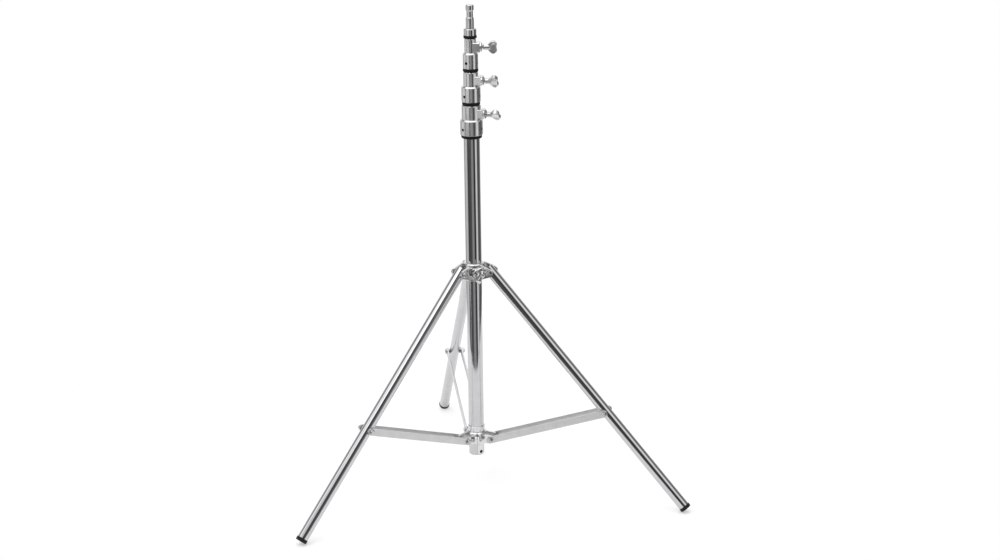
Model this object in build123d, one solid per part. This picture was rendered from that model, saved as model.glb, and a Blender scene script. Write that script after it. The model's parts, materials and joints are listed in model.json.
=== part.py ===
from build123d import *
import os
from math import asin, cos, degrees, radians, sin, sqrt

# Telescoping lighting stand: a column with three nested risers, a screw-locked clamp collar at
# the top of each outer tube, a stud for the lamp, and a sliding hub with three braced legs.
# Millimetres, +Z up. The origin is on the floor, on the axis of the column.
# Leg 3 points along +Y. Every other leg is a third of a turn away.
# The stand is drawn with its legs spread and its risers fully down.

os.makedirs("parts", exist_ok=True)

# ---- Clearances ----
PRESS_GAP = 0.02        # radial, between pieces that stay together
RUNNING_GAP = 0.06      # radial, between a shaft and its hole
FACE_GAP = 0.3          # between flat or curved faces that pass each other

# ---- Tubes: outer radius and wall ----
COLUMN_R = 16.0
COLUMN_WALL = 1.5
RISER_R = {1: 13.5, 2: 11.25, 3: 9.0}
RISER_WALL = 1.25
RISER_BOTTOM_Z = {1: 90.0, 2: 97.0, 3: 104.0}
BUSH_LENGTH = 60.0
BUSH_LIP = 1.5
END_PLUG_BELOW = 3.0
END_PLUG_INSIDE = 12.0

# ---- Clamp collars, from the top of the column upwards ----
COLLAR_1_Z = 757.0      # lower edge of the first collar
SKIRT_HEIGHT = 32.0     # wide lower part, which holds the tube below
SOCKET_DEPTH = 30.0
SLEEVE_HEIGHT = 28.0    # narrow upper part, which guides the riser
SHOULDER = 2.6          # chamfer round the top of the skirt
SLEEVE_CHAMFER = 1.8
RIM_CHAMFER = 0.8
BUMPER_HEIGHT = 6.8
BUMPER_GAP = 0.2
BUMPER_FILLET = 2.2
SKIRT_R = {1: 22.4, 2: 18.9, 3: 15.0}
SLEEVE_R = {1: 19.0, 2: 14.7, 3: 11.6}
BUMPER_R = {1: 20.8, 2: 18.0, 3: 15.4, 4: 13.2}
COLLAR_TURN = {1: -30.0, 2: -25.0, 3: -15.0}    # direction of each lock screw, degrees
SET_SCREW_R = 3.0
SET_SCREW_RISE = 12.0
SET_SCREW_RECESS = 1.8
SOCKET_FLAT = 1.5       # half the width across the flats of a hexagonal socket
SOCKET_DEPTH_MAX = 1.8

# ---- Lock screws ----
BOSS_WIDTH = 21.0
BOSS_HEIGHT = 20.0
BOSS_STAND_OFF = 8.0    # how far the boss reaches past the sleeve
BOSS_RISE = 11.0        # boss centre above the skirt
BOSS_CORNER_R = 3.0
BOSS_CHAMFER = 1.2
FLANGE_R = 9.5
FLANGE_LENGTH = 3.5
FLANGE_CHAMFER = 1.0
LOCK_R = 4.0            # threaded hole
SHOE_LENGTH = 4.0
NECK_LENGTH = 3.0       # screw seen between the flange and the wing
WING_LENGTH = 26.5
WING_SPAN = 25.5
WING_THICKNESS = 6.6
WING_ROOT = 4.2         # half the plate's height where it leaves the neck
WING_FLARE = 16.5       # where the lobes have nearly their full height
WING_WIDEST = 21.5
WING_LOBE_DROP = 5.0    # from the lobe's top to its outer corner
WING_CORNER_R = 2.4
WING_EDGE_R = 1.0
WING_NECK_R = 5.4
WING_NECK_LENGTH = 14.0
SCREW_IN_WING = 9.0
WING_TURN = {1: 42.0, 2: 60.0, 3: 82.0, 4: -58.0}    # how far each wing is turned from flat

# ---- Stud and its shoulder cap ----
STUD_R = 8.0
STUD_WAIST_R = 6.4
STUD_HEAD = 11.0
STUD_WAIST = 14.5
STUD_BODY = 21.5
STUD_TAPER = 1.5        # half the height of the slope at each end of the waist
CAP_R = 12.4
CAP_HEIGHT = 13.0
CAP_SEAT = 3.0          # solid metal left above the end of the top riser
SPIGOT_DEPTH = 45.0
STUD_PIN_R = 2.0
STUD_PIN_RISE = 5.0
STUD_PIN_INSET = 0.4

# ---- Legs and braces ----
LEG_AZIMUTHS = {1: -150.0, 2: -30.0, 3: 90.0}
LEG_R = 11.0
LEG_WALL = 1.5
LEG_LENGTH = 624.0      # from the hub pivot to the sole
LEG_SPREAD = 41.7       # from vertical, legs open
LEG_TOP = 11.0          # tube and plug above the pivot
HUB_PIVOT_R = 37.5
BRACE_PIVOT_DOWN = 368.0    # along the leg, from the hub pivot
BRACE_LENGTH = 262.0
LOWER_PIVOT_R = 35.5
CAP_SOLE_R = 11.7
SOLE_FILLET = 1.5
BAR_HEIGHT = 14.5
BAR_THICKNESS = 3.0
BAR_INNER = 14.0        # inner face of each brace bar, from the leg's own plane
BOLT_R = 3.0
BOLT_HEAD_R = 5.4
BOLT_HEAD_HEIGHT = 4.0
NUT_FLATS = 10.0
NUT_HEIGHT = 5.0
BOLT_PAST_NUT = 1.2
BOLT_REACH = 20.0       # cuts the bolt holes through both sides
SPACER_R = 6.0
PLUG_DEPTH = 7.0
PLUG_RIM = 1.5          # thickness of the plug over the end of the tube
SOLE_THICKNESS = 4.0
CAP_WALL_RISE = 3.5
CAP_SPIGOT = 22.0

# ---- Hub ----
HUB_LINER_WALL = 1.5
HUB_RING_R = 20.8
HUB_ABOVE = 16.5
HUB_BELOW = 18.5
EAR_ROOT = 12.0
EAR_INNER = 11.6
EAR_THICKNESS = 4.2
EAR_R = 8.5
HUB_BOSS_REACH = 29.0
HUB_BOSS_RISE = 1.0
HUB_BOSS_AZIMUTH = -85.0

# ---- Lower collar ----
LOWER_RING_R = 21.0
LOWER_RING_ABOVE = 13.0
LOWER_RING_BELOW = 13.0
LOWER_NECK_WALL = 1.4
LOWER_NECK_HEIGHT = 12.0
TONGUE_WALL = 2.0       # a tongue below the collar, which the end plug's screw passes through
TONGUE_WIDTH = 13.0
TONGUE_AZIMUTH = -72.0
TONGUE_BOTTOM_Z = 75.5
LUG_OUTER = 13.6
LUG_THICKNESS = 5.0
LUG_R = 7.5
SLIT_WIDTH = 1.6
PINCH_AZIMUTH = -97.0
PINCH_WIDTH = 12.0
PINCH_REACH = 29.0
PINCH_HEIGHT = 16.0
PINCH_SCREW_R = 2.5
PINCH_HEAD_R = 3.8
PINCH_SCREW_REACH = 25.5
COLUMN_BOTTOM_Z = 74.5
PLUG_SCREW_AZIMUTH = -68.0
PLUG_SCREW_Z = 80.5
PLUG_SCREW_START = 8.0

# ---- Worked-out heights ----
SOLE_CENTRE_Z = (
    (CAP_SOLE_R - SOLE_FILLET) * sin(radians(LEG_SPREAD))
    + SOLE_FILLET
    - SOLE_FILLET * cos(radians(LEG_SPREAD))
)
HUB_PIVOT_Z = SOLE_CENTRE_Z + LEG_LENGTH * cos(radians(LEG_SPREAD))
BRACE_PIVOT_R = HUB_PIVOT_R + BRACE_PIVOT_DOWN * sin(radians(LEG_SPREAD))
BRACE_PIVOT_Z = HUB_PIVOT_Z - BRACE_PIVOT_DOWN * cos(radians(LEG_SPREAD))
BRACE_REACH = BRACE_PIVOT_R - LOWER_PIVOT_R
BRACE_ANGLE = degrees(asin(BRACE_REACH / BRACE_LENGTH))     # from vertical, legs open
LOWER_PIVOT_Z = BRACE_PIVOT_Z - sqrt(BRACE_LENGTH**2 - BRACE_REACH**2)
STAGE = SKIRT_HEIGHT + SLEEVE_HEIGHT + BUMPER_HEIGHT + BUMPER_GAP
COLLAR_Z = {1: COLLAR_1_Z, 2: COLLAR_1_Z + STAGE, 3: COLLAR_1_Z + 2 * STAGE}
CAP_Z = COLLAR_1_Z + 3 * STAGE
CARRIER_R = {1: COLUMN_R, 2: RISER_R[1], 3: RISER_R[2]}
LOCK_Z = {n: COLLAR_Z[n] + SKIRT_HEIGHT + BOSS_RISE for n in COLLAR_Z}
LOCK_Z[4] = HUB_PIVOT_Z + HUB_BOSS_RISE
LOCK_AZIMUTH = {**COLLAR_TURN, 4: HUB_BOSS_AZIMUTH}
LOCK_REACH = {n: SLEEVE_R[n] + BOSS_STAND_OFF for n in SLEEVE_R}
LOCK_REACH[4] = HUB_BOSS_REACH
CLAMPED_R = {1: RISER_R[1], 2: RISER_R[2], 3: RISER_R[3], 4: COLUMN_R}

BASE = (Align.CENTER, Align.CENTER, Align.MIN)


# ---- Plain shapes ----
def rod_x(radius, start, end):
    """A round bar along X."""
    return Pos(start, 0, 0) * Rot(0, 90, 0) * Cylinder(radius, end - start, align=BASE)


def rod_y(radius, start, end):
    """A round bar along Y."""
    return Pos(0, start, 0) * Rot(-90, 0, 0) * Cylinder(radius, end - start, align=BASE)


def hex_y(across_flats, start, end):
    """A hexagonal bar along Y."""
    flat = RegularPolygon(across_flats / 2, 6, major_radius=False)
    return Pos(0, start, 0) * Rot(-90, 0, 0) * extrude(flat, end - start)


def turned(outline):
    """A ring or a solid of revolution about Z, from points of (radius, height)."""
    return revolve(make_face(Plane.XZ * Polyline(*outline, close=True)), Axis.Z)


def sleeve(outer, inner, low, high):
    """A plain ring about Z."""
    return turned([(inner, low), (outer, low), (outer, high), (inner, high)])


def side_plate(outline, thickness, inner):
    """A flat plate parallel to XZ, from a sketch of (x, z), with its inner face at y = inner."""
    return Pos(0, inner + thickness, 0) * extrude(Plane.XZ * outline, thickness)


def both_sides(shape):
    """The shape and its mirror image across the XZ plane."""
    return [shape, mirror(shape, Plane.XZ)]


def dome_head(radius, height, start):
    """A round bolt head along +Y with a softened rim."""
    head = rod_y(radius, start, start + height)
    return fillet(head.edges().sort_by(Axis.Y)[-1], height * 0.55)


def save(name, *shapes):
    """Writes one node. Separate solids in one node stay separate."""
    solids = [solid for shape in shapes for solid in shape.solids()]
    piece = solids[0] if len(solids) == 1 else Compound(children=solids)
    piece.label = name
    export_step(piece, f"parts/{name}.step")


# ---- Placement ----
def turn(azimuth):
    return Rot(0, 0, azimuth)


def on_leg(azimuth):
    """From the leg's own axes (pivot at 0, tube along -Z) to the stand."""
    return turn(azimuth) * Pos(HUB_PIVOT_R, 0, HUB_PIVOT_Z) * Rot(0, -LEG_SPREAD, 0)


def on_brace(azimuth):
    """From the brace's own axes (lower pivot at 0, bars along +Z) to the stand."""
    return turn(azimuth) * Pos(LOWER_PIVOT_R, 0, LOWER_PIVOT_Z) * Rot(0, BRACE_ANGLE, 0)


# ---- Column and its foot ----
def column_tube():
    top = COLLAR_1_Z + SOCKET_DEPTH - PRESS_GAP
    tube = sleeve(COLUMN_R, COLUMN_R - COLUMN_WALL, COLUMN_BOTTOM_Z, top)
    screw_hole = rod_x(SET_SCREW_R + FACE_GAP, 0, COLUMN_R + 1)
    return tube - turn(PLUG_SCREW_AZIMUTH) * Pos(0, 0, PLUG_SCREW_Z) * screw_hole


def column_end_plug():
    inside = COLUMN_R - COLUMN_WALL - PRESS_GAP
    low = COLUMN_BOTTOM_Z - END_PLUG_BELOW
    rim = COLUMN_BOTTOM_Z - PRESS_GAP
    top = COLUMN_BOTTOM_Z + END_PLUG_INSIDE
    plug = turned([
        (0, low), (COLUMN_R - 2.5, low), (COLUMN_R - 0.8, low + 0.8), (COLUMN_R, low + 2.4),
        (COLUMN_R, rim), (inside, rim), (inside, top - 1), (inside - 1, top), (0, top),
    ])
    hole = rod_x(SET_SCREW_R + PRESS_GAP, PLUG_SCREW_START - PRESS_GAP, COLUMN_R)
    return plug - turn(PLUG_SCREW_AZIMUTH) * Pos(0, 0, PLUG_SCREW_Z) * hole


def socket_screw(start, end):
    """A headless screw along +X with a hexagonal socket in its outer end."""
    body = chamfer(rod_x(SET_SCREW_R, start, end).edges().sort_by(Axis.X)[-1], 0.3)
    depth = min(SOCKET_DEPTH_MAX, (end - start) * 0.55)
    socket = extrude(RegularPolygon(SOCKET_FLAT, 6, major_radius=False), depth + 1)
    return body - Pos(end - depth, 0, 0) * Rot(0, 90, 0) * socket


# ---- Clamp collars ----
def lock_boss(reach):
    """The square boss and round flange that carry a lock screw, along +X."""
    block = extrude(Plane.YZ * RectangleRounded(BOSS_WIDTH, BOSS_HEIGHT, BOSS_CORNER_R), reach)
    block = chamfer(block.faces().sort_by(Axis.X)[-1].edges(), BOSS_CHAMFER)
    flange = rod_x(FLANGE_R, reach - 1, reach + FLANGE_LENGTH)
    return block + chamfer(flange.edges().sort_by(Axis.X)[-1], FLANGE_CHAMFER)


def clamp_collar(n):
    z = COLLAR_Z[n]
    step = z + SKIRT_HEIGHT
    top = step + SLEEVE_HEIGHT
    socket_top = z + SOCKET_DEPTH
    bore = RISER_R[n] + RUNNING_GAP
    socket = CARRIER_R[n] + PRESS_GAP
    skirt = SKIRT_R[n]
    narrow = SLEEVE_R[n]
    body = turned([
        (socket, z), (skirt - RIM_CHAMFER, z), (skirt, z + RIM_CHAMFER), (skirt, step - SHOULDER),
        (skirt - SHOULDER, step), (narrow, step), (narrow, top - SLEEVE_CHAMFER),
        (narrow - RIM_CHAMFER, top), (bore, top), (bore, socket_top), (socket, socket_top),
    ])
    place = turn(COLLAR_TURN[n])
    boss = place * Pos(0, 0, LOCK_Z[n]) * lock_boss(LOCK_REACH[n])
    riser_way = Pos(0, 0, socket_top + 1) * Cylinder(bore, SLEEVE_HEIGHT, align=BASE)
    screw_way = place * Pos(0, 0, LOCK_Z[n]) * rod_x(LOCK_R, 0, LOCK_REACH[n] + FLANGE_LENGTH + 1)
    collar = body + boss - riser_way - screw_way
    for third in range(3):
        hole = rod_x(SET_SCREW_R + 2 * PRESS_GAP, CARRIER_R[n], skirt + 1)
        collar -= turn(COLLAR_TURN[n] + 120 * third) * Pos(0, 0, z + SET_SCREW_RISE) * hole
    return collar


def collar_screws(n):
    screw = socket_screw(CARRIER_R[n] + 2 * PRESS_GAP, SKIRT_R[n] - SET_SCREW_RECESS)
    screw = Pos(0, 0, COLLAR_Z[n] + SET_SCREW_RISE) * screw
    return [turn(COLLAR_TURN[n] + 120 * third) * screw for third in range(3)]


def bumper(n, top, tube_r):
    """A rubber ring with rounded edges, under a collar or under the cap."""
    low = top - BUMPER_HEIGHT
    ring = sleeve(BUMPER_R[n], tube_r + PRESS_GAP, low, top - PRESS_GAP)
    rims = ring.edges().filter_by(GeomType.CIRCLE).sort_by(SortBy.RADIUS)[-2:]
    return fillet(rims, BUMPER_FILLET)


# ---- Risers ----
def riser_top(n):
    if n == 3:
        return CAP_Z + CAP_HEIGHT - CAP_SEAT - PRESS_GAP
    return COLLAR_Z[n + 1] + SOCKET_DEPTH - PRESS_GAP


def stud_pin(gap):
    half = CAP_R - STUD_PIN_INSET + gap
    return Pos(0, 0, CAP_Z + STUD_PIN_RISE) * rod_y(STUD_PIN_R + gap, -half, half)


def riser_tube(n):
    inside = RISER_R[n] - RISER_WALL
    tube = sleeve(RISER_R[n], inside, RISER_BOTTOM_Z[n], riser_top(n))
    return tube - stud_pin(PRESS_GAP) if n == 3 else tube


def riser_bush(n):
    """A nylon sleeve with a lip that the riser's lower end stands on and can turn in."""
    outer = {1: COLUMN_R - COLUMN_WALL, 2: RISER_R[1] - RISER_WALL, 3: RISER_R[2] - RISER_WALL}[n]
    outer -= RUNNING_GAP
    inner = RISER_R[n] + RUNNING_GAP
    low = RISER_BOTTOM_Z[n] - PRESS_GAP
    return turned([
        (RISER_R[n] - RISER_WALL, low - BUSH_LIP), (outer, low - BUSH_LIP),
        (outer, low + BUSH_LENGTH), (inner, low + BUSH_LENGTH), (inner, low),
        (RISER_R[n] - RISER_WALL, low),
    ])


def lamp_stud():
    """The lamp stud, its shoulder cap and the spigot inside the top riser, turned from one bar."""
    cap_top = CAP_Z + CAP_HEIGHT
    waist = cap_top + STUD_BODY
    head = waist + STUD_WAIST
    top = head + STUD_HEAD
    spigot = RISER_R[3] - RISER_WALL - PRESS_GAP
    cover = RISER_R[3] + PRESS_GAP
    low = cap_top - SPIGOT_DEPTH
    seat = cap_top - CAP_SEAT
    body = turned([
        (0, low), (spigot - 1, low), (spigot, low + 1), (spigot, seat), (cover, seat),
        (cover, CAP_Z), (CAP_R, CAP_Z), (CAP_R, cap_top - BOSS_CHAMFER), (CAP_R - BOSS_CHAMFER, cap_top),
        (STUD_R, cap_top), (STUD_R, waist - STUD_TAPER), (STUD_WAIST_R, waist + STUD_TAPER),
        (STUD_WAIST_R, head - STUD_TAPER), (STUD_R, head + STUD_TAPER), (STUD_R, top - 1),
        (STUD_R - 1, top), (0, top),
    ])
    return body - stud_pin(PRESS_GAP)


# ---- Lock screws ----
def lock_shoe_ends(n):
    start = CLAMPED_R[n] + FACE_GAP
    return start, start + SHOE_LENGTH


def lock_shoe(n):
    start, end = lock_shoe_ends(n)
    return rod_x(LOCK_R - RUNNING_GAP, start, end)


def wing_start(n):
    return LOCK_REACH[n] + FLANGE_LENGTH + NECK_LENGTH


def lock_screw(n):
    screw = rod_x(LOCK_R - RUNNING_GAP, lock_shoe_ends(n)[1], wing_start(n) + SCREW_IN_WING)
    return chamfer(screw.edges().sort_by(Axis.X)[0], 0.5)


def lock_wing(n):
    """A die-cast wing: a round hub that flares into two lobes."""
    half = WING_SPAN / 2
    outline = [
        (1, WING_ROOT), (8, WING_ROOT), (WING_FLARE, half - 0.6), (WING_WIDEST, half),
        (WING_LENGTH, half - WING_LOBE_DROP), (WING_LENGTH - 1.5, 0),
    ]
    outline += [(x, -z) for x, z in reversed(outline[:-1])]
    face = make_face(Polyline(*outline, close=True))
    corners = [v for v in face.vertices() if v.X > 10 and abs(v.Y) > 1]
    plate = extrude(Plane.XZ * fillet(corners, WING_CORNER_R), WING_THICKNESS / 2, both=True)
    plate = fillet(plate.edges().filter_by(lambda e: e.center().X > 10 and e.length > 3), WING_EDGE_R)
    neck = chamfer(rod_x(WING_NECK_R, 0, WING_NECK_LENGTH).edges(), BOSS_CHAMFER)
    wing = plate + neck - rod_x(LOCK_R - RUNNING_GAP + PRESS_GAP, -1, SCREW_IN_WING + PRESS_GAP)
    return Pos(wing_start(n), 0, 0) * Rot(90 - WING_TURN[n], 0, 0) * wing


def on_lock(n):
    return turn(LOCK_AZIMUTH[n]) * Pos(0, 0, LOCK_Z[n])


# ---- Leg hub ----
def leg_hub():
    low = HUB_PIVOT_Z - HUB_BELOW
    top = HUB_PIVOT_Z + HUB_ABOVE
    inner = COLUMN_R + RUNNING_GAP + HUB_LINER_WALL + PRESS_GAP
    hub = turned([
        (inner, low), (HUB_RING_R - 1, low), (HUB_RING_R, low + 1),
        (HUB_RING_R, top - 1.5), (HUB_RING_R - 1.5, top), (inner, top),
    ])
    reach = HUB_PIVOT_R
    outline = make_face(Polyline(
        (EAR_ROOT, top - 1.5), (HUB_RING_R, top - 1.5), (reach + 1, HUB_PIVOT_Z + EAR_R),
        (reach + 4, HUB_PIVOT_Z - EAR_R + 1), (HUB_RING_R, low + 4), (EAR_ROOT, low + 4), close=True,
    ))
    outline += Pos(reach, HUB_PIVOT_Z) * Circle(EAR_R)
    ears = both_sides(side_plate(outline, EAR_THICKNESS, EAR_INNER))
    bolt_way = Pos(reach, 0, HUB_PIVOT_Z) * rod_y(BOLT_R + PRESS_GAP, -BOLT_REACH, BOLT_REACH)
    for azimuth in LEG_AZIMUTHS.values():
        for ear in ears:
            hub += turn(azimuth) * (ear - bolt_way)
    hub += on_lock(4) * lock_boss(LOCK_REACH[4])
    hub -= Pos(0, 0, low - 1) * Cylinder(inner, HUB_ABOVE + HUB_BELOW + 4, align=BASE)
    return hub - on_lock(4) * rod_x(LOCK_R, 0, LOCK_REACH[4] + FLANGE_LENGTH + 1)


def hub_liner():
    """The nylon bush between the hub and the column, open where the brake shoe passes."""
    inner = COLUMN_R + RUNNING_GAP
    liner = sleeve(inner + HUB_LINER_WALL, inner, HUB_PIVOT_Z - HUB_BELOW, HUB_PIVOT_Z + HUB_ABOVE)
    return liner - on_lock(4) * rod_x(LOCK_R, 0, HUB_RING_R)


def through_bolt(outer):
    """Bolt along Y with a domed head on its +Y end; outer is where the head sits."""
    shank = rod_y(BOLT_R, -outer - NUT_HEIGHT - BOLT_PAST_NUT, outer + 1)
    return shank + dome_head(BOLT_HEAD_R, BOLT_HEAD_HEIGHT, outer)


def bolt_nut(outer):
    nut = hex_y(NUT_FLATS, -outer - NUT_HEIGHT, -outer)
    return nut - rod_y(BOLT_R + PRESS_GAP, -outer - NUT_HEIGHT - 1, -outer + 1)


# ---- Lower collar ----
def lower_collar():
    low = LOWER_PIVOT_Z - LOWER_RING_BELOW
    top = LOWER_PIVOT_Z + LOWER_RING_ABOVE
    inner = COLUMN_R + PRESS_GAP
    neck = inner + LOWER_NECK_WALL
    neck_top = top + LOWER_NECK_HEIGHT
    collar = turned([
        (inner, low), (LOWER_RING_R - 1, low), (LOWER_RING_R, low + 1), (LOWER_RING_R, top - 2),
        (LOWER_RING_R - 2, top), (neck, top), (neck, neck_top - 0.5), (neck - 0.5, neck_top),
        (inner, neck_top),
    ])
    collar += collar_tongue(inner, low + 1)
    outline = make_face(Polyline(
        (EAR_ROOT, LOWER_PIVOT_Z + 9.5), (LOWER_PIVOT_R, LOWER_PIVOT_Z + LUG_R),
        (LOWER_PIVOT_R, LOWER_PIVOT_Z - LUG_R), (EAR_ROOT, low + 1), close=True,
    ))
    outline += Pos(LOWER_PIVOT_R, LOWER_PIVOT_Z) * Circle(LUG_R)
    cheeks = both_sides(side_plate(outline, LUG_THICKNESS, LUG_OUTER - LUG_THICKNESS))
    bolt_way = Pos(LOWER_PIVOT_R, 0, LOWER_PIVOT_Z) * rod_y(BOLT_R + PRESS_GAP, -BOLT_REACH, BOLT_REACH)
    for azimuth in LEG_AZIMUTHS.values():
        for cheek in cheeks:
            collar += turn(azimuth) * (cheek - bolt_way)
    pinch = extrude(Plane.YZ * RectangleRounded(PINCH_WIDTH, PINCH_HEIGHT, 4), PINCH_REACH)
    pinch = chamfer(pinch.faces().sort_by(Axis.X)[-1].edges(), BOSS_CHAMFER)
    collar += on_pinch() * pinch
    collar -= Pos(0, 0, low - 1) * Cylinder(inner, neck_top - low + 2, align=BASE)
    collar -= on_pinch() * Pos(25, 0, 0) * Box(40, SLIT_WIDTH, 60)
    screw_way = rod_y(PINCH_SCREW_R + PRESS_GAP, -12, 12)
    return collar - on_pinch() * Pos(PINCH_SCREW_REACH, 0, 0) * screw_way


def collar_tongue(inner, top):
    """A curved tongue on the column's surface, from the collar down past the end plug's screw."""
    ring = sleeve(inner + TONGUE_WALL, inner, TONGUE_BOTTOM_Z, top)
    height = top - TONGUE_BOTTOM_Z
    window = Pos(COLUMN_R, 0, TONGUE_BOTTOM_Z + height / 2) * Box(COLUMN_R, TONGUE_WIDTH, height + 1)
    screw = turn(PLUG_SCREW_AZIMUTH) * Pos(0, 0, PLUG_SCREW_Z) * rod_x(SET_SCREW_R + FACE_GAP, 0, 30)
    return (ring & (turn(TONGUE_AZIMUTH) * window)) - screw


def on_pinch():
    return turn(PINCH_AZIMUTH) * Pos(0, 0, LOWER_PIVOT_Z)


def pinch_screw():
    half = PINCH_WIDTH / 2
    head = rod_y(PINCH_HEAD_R, half, half + 3.5) - hex_y(4.0, half + 1.6, half + 4)
    return Pos(PINCH_SCREW_REACH, 0, 0) * (head + rod_y(PINCH_SCREW_R, -half - 1.5, half + 1))


# ---- Legs, in the leg's own axes ----
def leg_tube():
    tube = sleeve(LEG_R, LEG_R - LEG_WALL, -LEG_LENGTH + SOLE_THICKNESS, LEG_TOP - PLUG_RIM)
    tube -= rod_y(BOLT_R + RUNNING_GAP, -BOLT_REACH, BOLT_REACH)
    return tube - Pos(0, 0, -BRACE_PIVOT_DOWN) * rod_y(BOLT_R + PRESS_GAP, -BOLT_REACH, BOLT_REACH)


def leg_top_plug():
    inside = LEG_R - LEG_WALL - PRESS_GAP
    rim = LEG_TOP - PLUG_RIM + PRESS_GAP
    plug = turned([
        (0, -PLUG_DEPTH), (inside - 1, -PLUG_DEPTH), (inside, 1 - PLUG_DEPTH), (inside, rim), (LEG_R, rim),
        (LEG_R, LEG_TOP - 0.6), (LEG_R - 1, LEG_TOP), (0, LEG_TOP),
    ])
    return plug - rod_y(BOLT_R + RUNNING_GAP, -BOLT_REACH, BOLT_REACH)


def foot_cap():
    """A rubber cap: a sole, a low wall round the tube and a spigot inside it."""
    inside = LEG_R - LEG_WALL - PRESS_GAP
    seat = -LEG_LENGTH + SOLE_THICKNESS - PRESS_GAP
    wall = LEG_R + PRESS_GAP
    cap = turned([
        (0, -LEG_LENGTH), (CAP_SOLE_R, -LEG_LENGTH), (CAP_SOLE_R, seat + CAP_WALL_RISE - 0.5),
        (CAP_SOLE_R - 0.5, seat + CAP_WALL_RISE), (wall, seat + CAP_WALL_RISE), (wall, seat),
        (inside, seat), (inside, seat + CAP_SPIGOT - 2), (inside - 1.5, seat + CAP_SPIGOT),
        (0, seat + CAP_SPIGOT),
    ])
    sole_edge = cap.edges().filter_by(lambda edge: edge.center().Z < -LEG_LENGTH + 0.1)
    return fillet(sole_edge, SOLE_FILLET)


def brace_stud():
    """The bolt through the leg with a spacer each side, up to the brace bars."""
    end = BAR_INNER - FACE_GAP
    stud = rod_y(BOLT_R, -end, end)
    for side in both_sides(rod_y(SPACER_R, LEG_R + 2 * PRESS_GAP, end)):
        stud += side
    return Pos(0, 0, -BRACE_PIVOT_DOWN) * stud


# ---- Braces, in the brace's own axes ----
def brace_bars():
    outline = Pos(0, BRACE_LENGTH / 2) * Rot(0, 0, 90) * SlotCenterToCenter(BRACE_LENGTH, BAR_HEIGHT)
    outline -= Circle(BOLT_R + RUNNING_GAP)
    outline -= Pos(0, BRACE_LENGTH) * Circle(BOLT_R + PRESS_GAP)
    return both_sides(side_plate(outline, BAR_THICKNESS, BAR_INNER))


def brace_bolt_ends():
    """The head and the nut that close the brace's outer pivot, one on each bar."""
    outer = BAR_INNER + BAR_THICKNESS
    end = outer + NUT_HEIGHT + BOLT_PAST_NUT
    head = rod_y(BOLT_R, BAR_INNER, outer + 1) + dome_head(BOLT_HEAD_R, BOLT_HEAD_HEIGHT, outer)
    nut = rod_y(BOLT_R, -end, -BAR_INNER) + hex_y(NUT_FLATS, -outer - NUT_HEIGHT, -outer)
    return [Pos(0, 0, BRACE_LENGTH) * head, Pos(0, 0, BRACE_LENGTH) * nut]


# ---- Writing the nodes ----
save("column_tube", column_tube())
save("column_end_plug", column_end_plug())
plug_screw = socket_screw(PLUG_SCREW_START, COLUMN_R + PRESS_GAP)
save("end_plug_screw", turn(PLUG_SCREW_AZIMUTH) * Pos(0, 0, PLUG_SCREW_Z) * plug_screw)
save("lower_collar", lower_collar())
save("lower_collar_screw", on_pinch() * pinch_screw())

for n in COLLAR_Z:
    save(f"clamp_collar_{n}", clamp_collar(n))
    save(f"collar_{n}_screws", *collar_screws(n))
    save(f"bumper_ring_{n}", bumper(n, COLLAR_Z[n], CARRIER_R[n]))
save("bumper_ring_4", bumper(4, CAP_Z, RISER_R[3]))

for n in RISER_R:
    save(f"riser_{n}_tube", riser_tube(n))
    save(f"riser_{n}_bush", riser_bush(n))
save("lamp_stud", lamp_stud())
save("lamp_stud_pin", stud_pin(0))

for n in LOCK_Z:
    save(f"lock_{n}_shoe", on_lock(n) * lock_shoe(n))
    save(f"lock_{n}_screw", on_lock(n) * lock_screw(n))
    save(f"lock_{n}_wing", on_lock(n) * lock_wing(n))

save("leg_hub", leg_hub())
save("hub_liner", hub_liner())
hub_bolt = Pos(HUB_PIVOT_R, 0, HUB_PIVOT_Z) * through_bolt(EAR_INNER + EAR_THICKNESS)
hub_nut = Pos(HUB_PIVOT_R, 0, HUB_PIVOT_Z) * bolt_nut(EAR_INNER + EAR_THICKNESS)
save("leg_pivot_bolts", *[turn(azimuth) * hub_bolt for azimuth in LEG_AZIMUTHS.values()])
save("leg_pivot_nuts", *[turn(azimuth) * hub_nut for azimuth in LEG_AZIMUTHS.values()])

bar_outer = BAR_INNER + BAR_THICKNESS + FACE_GAP
lower_bolt = Pos(LOWER_PIVOT_R, 0, LOWER_PIVOT_Z) * through_bolt(bar_outer)
lower_nut = Pos(LOWER_PIVOT_R, 0, LOWER_PIVOT_Z) * bolt_nut(bar_outer)
save("lower_pivot_bolts", *[turn(azimuth) * lower_bolt for azimuth in LEG_AZIMUTHS.values()])
save("lower_pivot_nuts", *[turn(azimuth) * lower_nut for azimuth in LEG_AZIMUTHS.values()])

for n, azimuth in LEG_AZIMUTHS.items():
    save(f"leg_{n}_tube", on_leg(azimuth) * leg_tube())
    save(f"leg_{n}_top_plug", on_leg(azimuth) * leg_top_plug())
    save(f"foot_cap_{n}", on_leg(azimuth) * foot_cap())
    save(f"leg_{n}_brace_stud", on_leg(azimuth) * brace_stud())
    save(f"brace_{n}_bars", *[on_brace(azimuth) * bar for bar in brace_bars()])
    save(f"brace_{n}_bolt_ends", *[on_brace(azimuth) * end for end in brace_bolt_ends()])
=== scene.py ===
import json
import math

import bmesh
import bpy
from mathutils import Matrix, Vector


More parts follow.
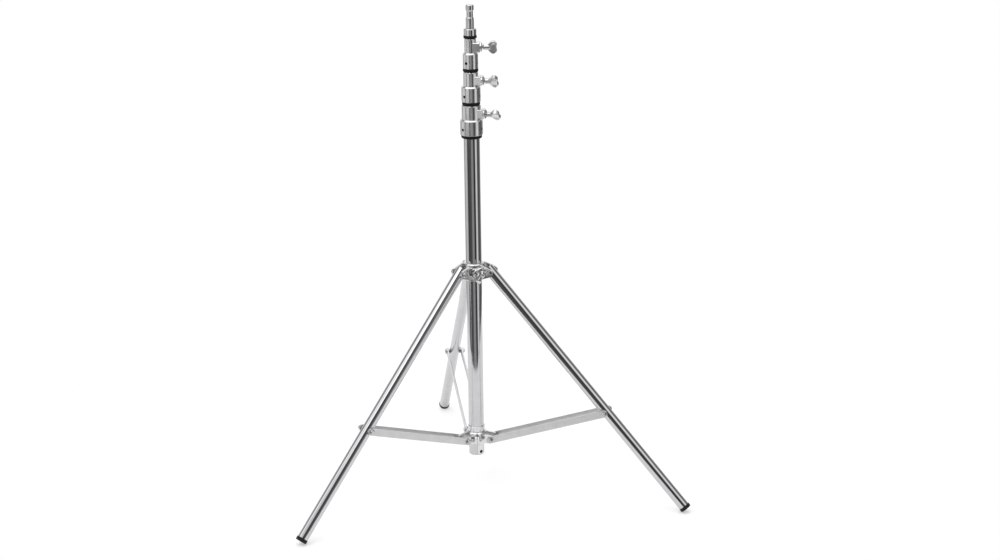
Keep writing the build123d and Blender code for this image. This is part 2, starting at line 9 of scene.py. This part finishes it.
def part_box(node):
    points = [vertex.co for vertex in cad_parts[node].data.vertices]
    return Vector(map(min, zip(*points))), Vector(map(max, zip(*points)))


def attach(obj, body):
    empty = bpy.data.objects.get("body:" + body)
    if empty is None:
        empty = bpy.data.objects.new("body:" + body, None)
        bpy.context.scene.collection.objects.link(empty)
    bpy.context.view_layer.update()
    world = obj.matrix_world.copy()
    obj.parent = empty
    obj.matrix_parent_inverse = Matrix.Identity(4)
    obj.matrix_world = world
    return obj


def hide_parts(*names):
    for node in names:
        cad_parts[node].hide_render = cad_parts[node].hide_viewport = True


# The looks of a chrome telescoping lighting stand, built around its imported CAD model.
# Metres throughout. Most pieces are finer copies of their CAD nodes with softened edges. The
# wings are swollen and smoothed, and the lock screws and foot caps are modelled here.

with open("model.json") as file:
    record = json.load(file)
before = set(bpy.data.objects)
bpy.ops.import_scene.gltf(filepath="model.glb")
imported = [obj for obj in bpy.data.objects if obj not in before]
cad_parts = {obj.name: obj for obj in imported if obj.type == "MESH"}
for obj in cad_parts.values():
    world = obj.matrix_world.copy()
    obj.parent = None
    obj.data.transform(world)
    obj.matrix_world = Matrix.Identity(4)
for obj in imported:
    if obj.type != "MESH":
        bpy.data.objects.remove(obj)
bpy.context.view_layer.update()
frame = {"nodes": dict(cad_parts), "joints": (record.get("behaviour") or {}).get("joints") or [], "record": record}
NODES = frame["nodes"]
JOINTS = {joint["name"]: joint for joint in frame["joints"]}
BODY_OF = {
    node: body for body, nodes in frame["record"]["behaviour"]["bodies"].items() for node in nodes
}
SLOT_OF = {part["node"]: part["material_slot"] for part in frame["record"]["subparts"]}
SCENE = bpy.context.scene
MM = 0.001
UP = Vector((0, 0, 1))

# ---- Camera and studio ----
CAMERA_AZIMUTH = -9.965     # 0 looks along +Y
CAMERA_ELEVATION = 18.02
CAMERA_ROLL = -0.715
CAMERA_DISTANCE = 4.5
CAMERA_LENS = 79.8          # mm, on a 36 mm sensor
CAMERA_AIM = Vector((0, 0, 0.5))
CAMERA_ASIDE = 0.0535
CAMERA_DOWN = 0.0466
FLOOR_RADIUS = 1.0
FLOOR_BACK = 0.28           # how far the floor's middle lies behind the stand, as the camera sees it
FLOOR_GREY = 0.60
FLOOR_GLOW = 0.42           # keeps the shadows under the feet faint
KEY_PLACE = (-1.2, -2.2, 3.2)
KEY_AIM = (0, 0, 0.4)
KEY_SIZE = (1.6, 1.6)
KEY_POWER = 9               # watts
# A low card on the left, placed for the collars' reflections.
CARD_BEARING = math.radians(CAMERA_AZIMUTH - 90 - 44)
CARD_DISTANCE = 1.5
CARD_Z = 0.56
CARD_SIZE = (1.1, 0.34)
CARD_POWER = 1.1            # watts

# Brightness round the studio in four belts. Bearings are degrees to the right of the camera,
# seen from the object; 180 is the wall behind it.
BELOW_HORIZON = [
    (-180, 0.50), (-130, 0.50), (-112, 0.85), (-80, 0.80), (-68, 0.08), (-18, 0.12), (-6, 0.40),
    (14, 0.36), (22, 0.03), (38, 0.05), (50, 0.75), (58, 1.10), (70, 0.90), (80, 0.12), (122, 0.14),
    (134, 0.30), (180, 0.50),
]
EYE_LEVEL = [
    (-180, 1.10), (-150, 1.00), (-130, 0.60), (-105, 0.60), (-85, 0.70), (-60, 0.50), (-35, 0.15),
    (0, 0.07), (22, 0.07), (35, 0.20), (50, 0.50), (75, 0.50), (95, 0.20), (125, 0.35), (150, 1.00),
    (180, 1.10),
]
RAISED = [
    (-180, 1.20), (-150, 1.00), (-128, 0.28), (-100, 0.32), (-90, 0.70), (-82, 1.80), (-70, 1.60),
    (-60, 1.00), (-18, 0.92), (-4, 0.60), (4, 0.05), (18, 0.06), (28, 1.00), (58, 1.30), (72, 0.50),
    (90, 0.20), (115, 0.20), (140, 0.80), (180, 1.20),
]
OVERHEAD = [
    (-180, 1.70), (-120, 1.50), (-95, 2.00), (-10, 2.00), (10, 1.20), (30, 1.80), (75, 1.80),
    (95, 1.00), (130, 1.10), (180, 1.70),
]
# Sine of the elevation at which each belt gives way to the next.
BELT_EDGES = [(-0.12, 0.03), (0.36, 0.50), (0.70, 0.82)]


def camera():
    azimuth = math.radians(CAMERA_AZIMUTH)
    elevation = math.radians(CAMERA_ELEVATION)
    roll = math.radians(CAMERA_ROLL)
    back = Vector((
        math.sin(azimuth) * math.cos(elevation),
        -math.cos(azimuth) * math.cos(elevation),
        math.sin(elevation),
    ))
    level = Vector((math.cos(azimuth), math.sin(azimuth), 0))
    rise = back.cross(level)
    right = math.cos(roll) * level + math.sin(roll) * rise
    up = math.cos(roll) * rise - math.sin(roll) * level
    data = bpy.data.cameras.new("camera")
    data.lens = CAMERA_LENS
    data.sensor_width = 36
    data.clip_end = 60
    item = bpy.data.objects.new("camera", data)
    place = CAMERA_AIM + CAMERA_ASIDE * right - CAMERA_DOWN * up + CAMERA_DISTANCE * back
    item.matrix_world = Matrix.Translation(place) @ Matrix((right, up, back)).transposed().to_4x4()
    SCENE.collection.objects.link(item)
    SCENE.camera = item


class Graph:
    """A short way to write a node tree."""

    def __init__(self, tree):
        self.tree = tree
        self.tree.nodes.clear()

    def add(self, kind, settings=None, **inputs):
        """Adds a node. Inputs are values or output sockets, by name or as i0, i1 and so on."""
        node = self.tree.nodes.new(kind)
        for name, value in (settings or {}).items():
            setattr(node, name, value)
        for name, value in inputs.items():
            key = int(name[1:]) if name[1:].isdigit() else name.replace("_", " ")
            self.put(node.inputs[key], value)
        return node

    def put(self, socket, value):
        if isinstance(value, bpy.types.NodeSocket):
            self.tree.links.new(value, socket)
        else:
            socket.default_value = value

    def maths(self, operation, a, b=0.0, c=0.0):
        return self.add("ShaderNodeMath", {"operation": operation}, i0=a, i1=b, i2=c).outputs[0]

    def steps(self, factor, low, high):
        """0 below low, 1 above high, smooth between them."""
        node = self.add("ShaderNodeMapRange", {"interpolation_type": "SMOOTHSTEP"}, i0=factor)
        node.inputs["From Min"].default_value = low
        node.inputs["From Max"].default_value = high
        return node.outputs[0]

    def ramp(self, factor, stops, smooth="EASE"):
        node = self.add("ShaderNodeValToRGB", i0=factor)
        node.color_ramp.interpolation = smooth
        elements = node.color_ramp.elements
        while len(elements) > 1:
            elements.remove(elements[-1])
        for index, (place, value) in enumerate(stops):
            element = elements[0] if index == 0 else elements.new(place)
            element.position = place
            element.color = (value, value, value, 1) if isinstance(value, (int, float)) else (*value, 1)
        return node.outputs["Color"]

    def mix(self, factor, a, b, blend="MIX"):
        settings = {"data_type": "RGBA", "blend_type": blend}
        return self.add("ShaderNodeMix", settings, i0=factor, i6=a, i7=b).outputs[2]

    def noise(self, vector, scale, detail=2.0, roughness=0.5):
        return self.add(
            "ShaderNodeTexNoise", Vector=vector, Scale=scale, Detail=detail, Roughness=roughness
        ).outputs["Fac"]


def studio():
    """Soft boxes and dark gaps all round the stand; plain white where the camera looks past it."""
    world = bpy.data.worlds.new("studio")
    SCENE.world = world
    world.use_nodes = True
    g = Graph(world.node_tree)
    direction = g.add("ShaderNodeTexCoord").outputs["Generated"]
    x, y, z = g.add("ShaderNodeSeparateXYZ", Vector=direction).outputs
    bearing = g.maths("ARCTAN2", y, x)
    camera_bearing = math.radians(CAMERA_AZIMUTH - 90)
    turn = g.maths("MULTIPLY_ADD", g.maths("SUBTRACT", bearing, camera_bearing), 1 / math.tau, 1.5)
    turn = g.maths("FRACT", turn)

    def belt(stops):
        return g.ramp(turn, [(degrees / 360 + 0.5, value) for degrees, value in stops])

    light = belt(BELOW_HORIZON)
    for stops, (low, high) in zip((EYE_LEVEL, RAISED, OVERHEAD), BELT_EDGES):
        light = g.mix(g.steps(z, low, high), light, belt(stops))
    seen = g.add("ShaderNodeLightPath").outputs["Is Camera Ray"]
    room = g.add("ShaderNodeBackground", Color=light, Strength=1.0)
    white = g.add("ShaderNodeBackground", Color=(1, 1, 1, 1), Strength=1.0)
    both = g.add("ShaderNodeMixShader", i0=seen, i1=room.outputs[0], i2=white.outputs[0])
    g.add("ShaderNodeOutputWorld", Surface=both.outputs[0])


def floor():
    material = bpy.data.materials.new("pale_floor")
    material.use_nodes = True
    g = Graph(material.node_tree)
    shader = g.add("ShaderNodeBsdfPrincipled")
    shader.inputs["Base Color"].default_value = (FLOOR_GREY, FLOOR_GREY, FLOOR_GREY, 1)
    shader.inputs["Roughness"].default_value = 0.9
    shader.inputs["Emission Color"].default_value = (1, 1, 1, 1)
    shader.inputs["Emission Strength"].default_value = FLOOR_GLOW
    g.add("ShaderNodeOutputMaterial", Surface=shader.outputs[0])
    mesh = bpy.data.meshes.new("floor")
    built = bmesh.new()
    azimuth = math.radians(CAMERA_AZIMUTH)
    behind = Matrix.Translation((-FLOOR_BACK * math.sin(azimuth), FLOOR_BACK * math.cos(azimuth), 0))
    bmesh.ops.create_circle(built, cap_ends=True, segments=96, radius=FLOOR_RADIUS, matrix=behind)
    built.to_mesh(mesh)
    built.free()
    mesh.materials.append(material)
    item = bpy.data.objects.new("floor", mesh)
    SCENE.collection.objects.link(item)


def area_light(name, place, aim, size, power):
    data = bpy.data.lights.new(name, "AREA")
    data.shape = "RECTANGLE"
    data.size, data.size_y = size
    data.energy = power
    item = bpy.data.objects.new(name, data)
    item.location = place
    item.rotation_mode = "QUATERNION"
    item.rotation_quaternion = (Vector(aim) - Vector(place)).to_track_quat("-Z", "Y")
    item.visible_camera = False
    SCENE.collection.objects.link(item)


camera()
studio()
floor()
area_light("key", KEY_PLACE, KEY_AIM, KEY_SIZE, KEY_POWER)
card_place = (CARD_DISTANCE * math.cos(CARD_BEARING), CARD_DISTANCE * math.sin(CARD_BEARING), CARD_Z)
area_light("card", card_place, (0, 0, CARD_Z), CARD_SIZE, CARD_POWER)
SCENE.view_settings.view_transform = "Standard"


# ---- Materials ----
# Noise scales, in features per metre.
CLOUD_SCALE = 55.0
SPECK_SCALE = 700.0
RIPPLE_SCALE = 18.0
PIT_SCALE = 1300.0
WEAR_RADIUS = 0.7 * MM      # how far wear reaches from an edge


# Every piece carries a "grain" attribute: its own coordinates in metres, with z along its
# length, so that drawn, brushed and turned marks follow the piece.
def finish(
    name, color, metallic, roughness, *, smudge=0.0, tint=0.0, grain=(1, 1, 1), lines=0.0,
    line_scale=900.0, bump=0.0, waviness=0.0, pits=0.0, wear=0.0, dust=0.0, shine=0.5,
):
    """A worked surface: smudges, colour drift, marks along or round the piece, worn edges."""
    material = bpy.data.materials.new(name)
    material.use_nodes = True
    g = Graph(material.node_tree)
    shader = g.add("ShaderNodeBsdfPrincipled")
    shader.inputs["Metallic"].default_value = metallic
    shader.inputs["Specular IOR Level"].default_value = shine
    own = g.add("ShaderNodeAttribute", {"attribute_name": "grain"}).outputs["Vector"]
    stretched = g.add("ShaderNodeVectorMath", {"operation": "MULTIPLY"}, i0=own, i1=grain).outputs[0]
    marks = g.noise(stretched, line_scale, 3.0, 0.65)
    cloud = g.noise(own, CLOUD_SCALE, 4.0, 0.6)
    speck = g.noise(own, SPECK_SCALE, 2.0, 0.5)

    # Colour: slow drift, darker in the marks, paler where the edges have rubbed.
    low = tuple(value * (1 - tint) for value in color)
    high = tuple(min(1.0, value * (1 + tint)) for value in color)
    base = g.ramp(cloud, [(0.3, low), (0.7, high)])
    if lines:
        deep = tuple(value * 0.6 for value in color)
        base = g.mix(g.maths("MULTIPLY", g.steps(marks, 0.62, 0.75), lines), base, (*deep, 1))
    if dust:
        pale = tuple(min(1.0, value + 0.12) for value in color)
        base = g.mix(g.maths("MULTIPLY", g.steps(speck, 0.6, 0.8), dust), base, (*pale, 1))

    rough = g.maths("MULTIPLY_ADD", cloud, 2 * smudge, roughness - smudge)
    rough = g.maths("MULTIPLY_ADD", marks, 0.5 * lines * roughness, rough)
    if wear:
        rounded = g.add("ShaderNodeBevel", {"samples": 4}, Radius=WEAR_RADIUS).outputs[0]
        true = g.add("ShaderNodeNewGeometry").outputs["Normal"]
        same = g.add("ShaderNodeVectorMath", {"operation": "DOT_PRODUCT"}, i0=rounded, i1=true).outputs[1]
        edge = g.maths("MULTIPLY", g.steps(g.maths("SUBTRACT", 1.0, same), 0.01, 0.12), wear)
        bright = tuple(min(1.0, value * 1.25) for value in color)
        base = g.mix(edge, base, (*bright, 1))
        rough = g.maths("MULTIPLY_ADD", edge, -0.3 * roughness, rough)
    g.put(shader.inputs["Base Color"], base)
    g.put(shader.inputs["Roughness"], rough)

    normal = None
    if waviness:
        ripple = g.noise(own, RIPPLE_SCALE, 1.0)
        normal = bumped(g, ripple, waviness, 0.001, normal)
    if pits:
        normal = bumped(g, g.noise(own, PIT_SCALE, 2.0), pits, 0.0001, normal)
    if bump:
        normal = bumped(g, marks, bump, 0.00004, normal)
    if normal is not None:
        g.put(shader.inputs["Normal"], normal)
    g.add("ShaderNodeOutputMaterial", Surface=shader.outputs[0])
    return material


def bumped(g, height, strength, distance, normal):
    node = g.add("ShaderNodeBump", Strength=strength, Distance=distance, Height=height)
    if normal is not None:
        g.put(node.inputs["Normal"], normal)
    return node.outputs[0]


ALONG = (1.0, 1.0, 0.02)    # marks that run the length of a piece
ROUND = (0.04, 0.04, 1.0)   # marks that run round it

MATERIALS = {
    "column_chrome": finish(
        "column_chrome", (0.538, 0.540, 0.550), 1, 0.07, smudge=0.03, tint=0.03, grain=ALONG,
        lines=0.12, bump=0.02, waviness=0.06,
    ),
    "tube_chrome": finish(
        "tube_chrome", (0.545, 0.547, 0.556), 1, 0.08, smudge=0.03, tint=0.03, grain=ALONG,
        lines=0.12, bump=0.02, waviness=0.05,
    ),
    "casting_chrome": finish(
        "casting_chrome", (0.66, 0.66, 0.665), 1, 0.22, smudge=0.06, tint=0.05,
        lines=0.12, line_scale=420.0, pits=0.06, waviness=0.06, wear=0.5,
    ),
    "stud_steel": finish(
        "stud_steel", (0.56, 0.56, 0.57), 1, 0.09, smudge=0.03, tint=0.03, grain=ROUND,
        lines=0.3, line_scale=2200.0, bump=0.12, wear=0.4,
    ),
    "brace_steel": finish(
        "brace_steel", (0.60, 0.60, 0.605), 1, 0.33, smudge=0.06, tint=0.05, grain=ALONG,
        lines=0.7, line_scale=1500.0, bump=0.45, wear=0.6,
    ),
    "fastener_steel": finish(
        "fastener_steel", (0.50, 0.50, 0.51), 1, 0.24, smudge=0.08, tint=0.08, grain=ROUND,
        lines=0.4, line_scale=1500.0, bump=0.2, wear=0.6,
    ),
    "set_screw_steel": finish(
        "set_screw_steel", (0.012, 0.012, 0.013), 1, 0.42, smudge=0.08, tint=0.2, wear=0.5,
    ),
    "rubber": finish(
        "rubber", (0.008, 0.008, 0.009), 0, 0.55, smudge=0.08, tint=0.2, pits=0.6, dust=0.04,
        shine=0.25,
    ),
    "nylon": finish("nylon", (0.78, 0.77, 0.72), 0, 0.45, smudge=0.05, tint=0.03, grain=ALONG, bump=0.2),
    "shoe_brass": finish(
        "shoe_brass", (0.70, 0.50, 0.22), 1, 0.30, smudge=0.08, tint=0.06, grain=ROUND, bump=0.3,
    ),
    "plug_metal": finish(
        "plug_metal", (0.56, 0.56, 0.57), 1, 0.30, smudge=0.06, tint=0.05, pits=0.3, wear=0.5,
    ),
}


# ---- Pieces ----
def own_axes(origin, along):
    """A matrix from a piece's own coordinates, with z along it, to the stand's."""
    turn = Vector(along).to_track_quat("Z", "Y").to_matrix().to_4x4()
    return Matrix.Translation(Vector(origin)) @ turn


def middle(node):
    low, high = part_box(node)
    return (low + high) / 2


def centroid(node):
    """The mean of a node's points, each counted once: on the axis of a turned piece."""
    places = {tuple(round(value, 6) for value in vertex.co) for vertex in NODES[node].data.vertices}
    return sum((Vector(place) for place in sorted(places)), Vector()) / len(places)


STAND_AXES = Matrix.Identity(4)
AXES = {name: STAND_AXES for name in NODES}
for n in (1, 2, 3):
    hip = Vector(JOINTS[f"leg_{n}_hinge"]["pos_m"])
    leg_axes = own_axes(hip, hip - centroid(f"foot_cap_{n}"))
    for name in (f"leg_{n}_tube", f"leg_{n}_top_plug", f"foot_cap_{n}", f"leg_{n}_brace_stud"):
        AXES[name] = leg_axes
    ankle = Vector(JOINTS[f"brace_{n}_hinge"]["pos_m"])
    brace_axes = own_axes(ankle, middle(f"leg_{n}_brace_stud") - ankle)
    for name in (f"brace_{n}_bars", f"brace_{n}_bolt_ends"):
        AXES[name] = brace_axes
for n in (1, 2, 3, 4):
    screw = JOINTS[f"lock_{n}_turn"]
    for name in (f"lock_{n}_shoe", f"lock_{n}_screw", f"lock_{n}_wing"):
        AXES[name] = own_axes(screw["pos_m"], screw["axis"])


def write_grain(mesh, axes):
    """Stores each point's place in the piece's own coordinates."""
    inverse = axes.inverted()
    grain = mesh.attributes.new("grain", "FLOAT_VECTOR", "POINT")
    places = []
    for vertex in mesh.vertices:
        places.extend(inverse @ vertex.co)
    grain.data.foreach_set("vector", places)


def show(mesh, node):
    """Puts a finished mesh in place of a CAD node."""
    write_grain(mesh, AXES[node])
    mesh.materials.clear()
    mesh.materials.append(MATERIALS[SLOT_OF[node]])
    item = bpy.data.objects.new(f"{node}_shown", mesh)
    SCENE.collection.objects.link(item)
    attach(item, BODY_OF[node])
    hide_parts(node)


def settled(mesh, modifiers):
    """Applies modifiers, given as (kind, settings), and returns the resulting mesh."""
    item = bpy.data.objects.new("work", mesh)
    SCENE.collection.objects.link(item)
    for kind, settings in modifiers:
        modifier = item.modifiers.new(kind, kind)
        for key, value in settings.items():
            setattr(modifier, key, value)
    bpy.context.view_layer.update()
    result = bpy.data.meshes.new_from_object(item.evaluated_get(bpy.context.evaluated_depsgraph_get()))
    bpy.data.objects.remove(item)
    return result


SEAM = 0.002 * MM           # points closer than this are one
FLAT = 0.6                  # degrees; faces this nearly in one plane become one


def welded(node, flat=FLAT):
    """A clean copy of a CAD node's mesh: seams joined, flat faces made whole."""
    mesh = bpy.data.meshes.new(node)
    built = bmesh.new()
    built.from_mesh(NODES[node].data)
    bmesh.ops.remove_doubles(built, verts=built.verts, dist=SEAM)
    bmesh.ops.dissolve_limit(
        built, angle_limit=math.radians(flat), use_dissolve_boundaries=False,
        verts=built.verts, edges=built.edges,
    )
    for face in built.faces:
        face.smooth = True
    built.to_mesh(mesh)
    built.free()
    return mesh


BEVEL_ANGLE = 28            # degrees; edges that turn more than this are rounded


def softened(node, width):
    """The CAD piece with its edges rounded over by this many millimetres."""
    bevel = {
        "width": width * MM, "segments": 2, "limit_method": "ANGLE", "angle_limit": math.radians(BEVEL_ANGLE),
        "use_clamp_overlap": True, "miter_outer": "MITER_ARC", "harden_normals": False,
    }
    normals = {"mode": "FACE_AREA_WITH_ANGLE", "weight": 80, "keep_sharp": False}
    mesh = settled(welded(node), [("BEVEL", bevel), ("WEIGHTED_NORMAL", normals)])
    show(mesh, node)


def own_points(node):
    """The CAD node's points in its own coordinates."""
    inverse = AXES[node].inverted()
    return [inverse @ vertex.co for vertex in NODES[node].data.vertices]


def radius_of(point):
    return math.hypot(point.x, point.y)


def turned(node, profile, steps, swell=None):
    """A solid turned about the node's own z from (radius, height) points, closed at both ends.

    swell(angle, height), where given, is added to the radius.
    """
    axes = AXES[node]
    built = bmesh.new()
    rings = []
    for radius, height in profile:
        ring = []
        for step in range(steps):
            angle = math.tau * step / steps
            reach = radius + (swell(angle, height) if swell else 0)
            place = Vector((reach * math.cos(angle), reach * math.sin(angle), height))
            ring.append(built.verts.new(axes @ place))
        rings.append(ring)
    for below, above in zip(rings, rings[1:]):
        for step in range(steps):
            after = (step + 1) % steps
            built.faces.new((below[step], below[after], above[after], above[step])).smooth = True
    built.faces.new(reversed(rings[0]))
    built.faces.new(rings[-1])
    mesh = bpy.data.meshes.new(node)
    built.to_mesh(mesh)
    built.free()
    return mesh


THREAD_PITCH = 1.5 * MM
THREAD_DEPTH = 0.7 * MM
STEPS_PER_PITCH = 8
SCREW_STEPS = 40


def threaded_screw(node):
    """A lock screw with its thread cut, running out at both ends."""
    points = own_points(node)
    low = min(point.z for point in points)
    high = max(point.z for point in points)
    radius = max(radius_of(point) for point in points)
    rows = round((high - low) / THREAD_PITCH * STEPS_PER_PITCH)

    def thread(angle, height):
        turns = height / THREAD_PITCH - angle / math.tau
        groove = abs(2 * (turns % 1) - 1)
        from_end = min(height - low, high - height) / THREAD_PITCH
        return -THREAD_DEPTH * max(groove, 1 - from_end)

    profile = [(radius, low + (high - low) * row / rows) for row in range(rows + 1)]
    mesh = turned(node, profile, SCREW_STEPS, thread)
    show(mesh, node)


FOOT_STEPS = 72
SOLE_EDGE = 1.5 * MM        # radius of the sole's edges
SOLE_HOLLOW = 1.2 * MM      # depth of the hollow under the sole
SOLE_RING = 0.62            # inner edge of the ring that rests on the floor, as a share of the sole
HOLLOW_TOP = 0.9            # radius of the hollow's flat top, as a share of that inner edge's
NEAR_SIDE = 0.9             # points beyond this share of the sole's radius belong to its side
GROOVE_DEPTH = 0.4 * MM
GROOVE_STEPS = 24
PIN_HOLE = 0.3 * MM
SPIGOT_CHAMFER = 1 * MM


def arc(radius, height, first, last, steps=6):
    """Points (radius, height) round a SOLE_EDGE circle, between two angles from straight down."""
    angles = [math.radians(first + (last - first) * step / steps) for step in range(steps + 1)]
    return [
        (radius + SOLE_EDGE * math.sin(angle), height - SOLE_EDGE * math.cos(angle)) for angle in angles
    ]


def foot_cap(n):
    """A rubber cap: a round-edged sole with two grooves round it, and the spigot inside the leg."""
    node = f"foot_cap_{n}"
    points = own_points(node)
    low = min(point.z for point in points)
    high = max(point.z for point in points)
    sole = max(radius_of(point) for point in points)
    rim = max(point.z for point in points if radius_of(point) > NEAR_SIDE * sole)
    spigot = max(radius_of(point) for point in points if point.z > (rim + high) / 2)
    side = rim - low - 2 * SOLE_EDGE

    profile = [
        (PIN_HOLE, low + SOLE_HOLLOW),
        (HOLLOW_TOP * SOLE_RING * sole, low + SOLE_HOLLOW),
        (SOLE_RING * sole, low),
    ]
    profile += arc(sole - SOLE_EDGE, low + SOLE_EDGE, 0, 90)
    for step in range(GROOVE_STEPS + 1):
        along = step / GROOVE_STEPS
        groove = GROOVE_DEPTH * max(0.0, -math.cos(along * 2 * math.tau)) ** 2
        profile.append((sole - groove, low + SOLE_EDGE + side * along))
    profile += arc(sole - SOLE_EDGE, rim - SOLE_EDGE, 90, 180)[1:]
    profile += [
        (spigot, rim), (spigot, high - SPIGOT_CHAMFER), (spigot - SPIGOT_CHAMFER, high), (PIN_HOLE, high),
    ]
    show(turned(node, profile, FOOT_STEPS), node)


LOBE_START = 5 * MM         # from the screw's axis, where the wing begins to thicken
LOBE_FULL = 14 * MM         # where it is thickest
LOBE_SWELL = 0.75           # thickness added there, as a share of the CAD wing's
VOXEL = 0.45 * MM
SMOOTHING_ROUNDS = 26
WING_GROWTH = 0.55 * MM     # makes up for what smoothing takes away


def wing(n):
    """A cast thumb wing: thick rounded lobes that run smoothly into the neck."""
    node = f"lock_{n}_wing"
    axes = AXES[node]
    inverse = axes.inverted()
    mesh = welded(node, flat=0.01)
    points = [inverse @ vertex.co for vertex in mesh.vertices]
    double = math.atan2(
        sum(2 * point.x * point.y for point in points), sum(point.x ** 2 - point.y ** 2 for point in points)
    )
    along = Vector((math.cos(double / 2), math.sin(double / 2), 0))
    across = Vector((-along.y, along.x, 0))
    for vertex, point in zip(mesh.vertices, points):
        reach = abs(point.dot(along))
        share = min(1.0, max(0.0, (reach - LOBE_START) / (LOBE_FULL - LOBE_START)))
        vertex.co = axes @ (point + LOBE_SWELL * share * point.dot(across) * across)
    remesh = {"mode": "VOXEL", "voxel_size": VOXEL, "use_smooth_shade": True}
    smooth = {"factor": 0.5, "iterations": SMOOTHING_ROUNDS}
    grow = {"strength": WING_GROWTH, "mid_level": 0.0}
    mesh = settled(mesh, [("REMESH", remesh), ("SMOOTH", smooth), ("DISPLACE", grow)])
    show(mesh, node)


# How far the edges of each material's pieces are rounded, in millimetres.
SOFTENED = {
    "column_chrome": 0.25, "tube_chrome": 0.25, "casting_chrome": 0.5, "stud_steel": 0.3,
    "brace_steel": 0.35, "fastener_steel": 0.3, "set_screw_steel": 0.15, "rubber": 0.5, "nylon": 0.2,
    "shoe_brass": 0.2, "plug_metal": 0.3,
}
modelled = set()
for n in (1, 2, 3):
    foot_cap(n)
    modelled.add(f"foot_cap_{n}")
for n in (1, 2, 3, 4):
    wing(n)
    threaded_screw(f"lock_{n}_screw")
    modelled |= {f"lock_{n}_wing", f"lock_{n}_screw"}
for name in sorted(set(NODES) - modelled):
    softened(name, SOFTENED[SLOT_OF[name]])
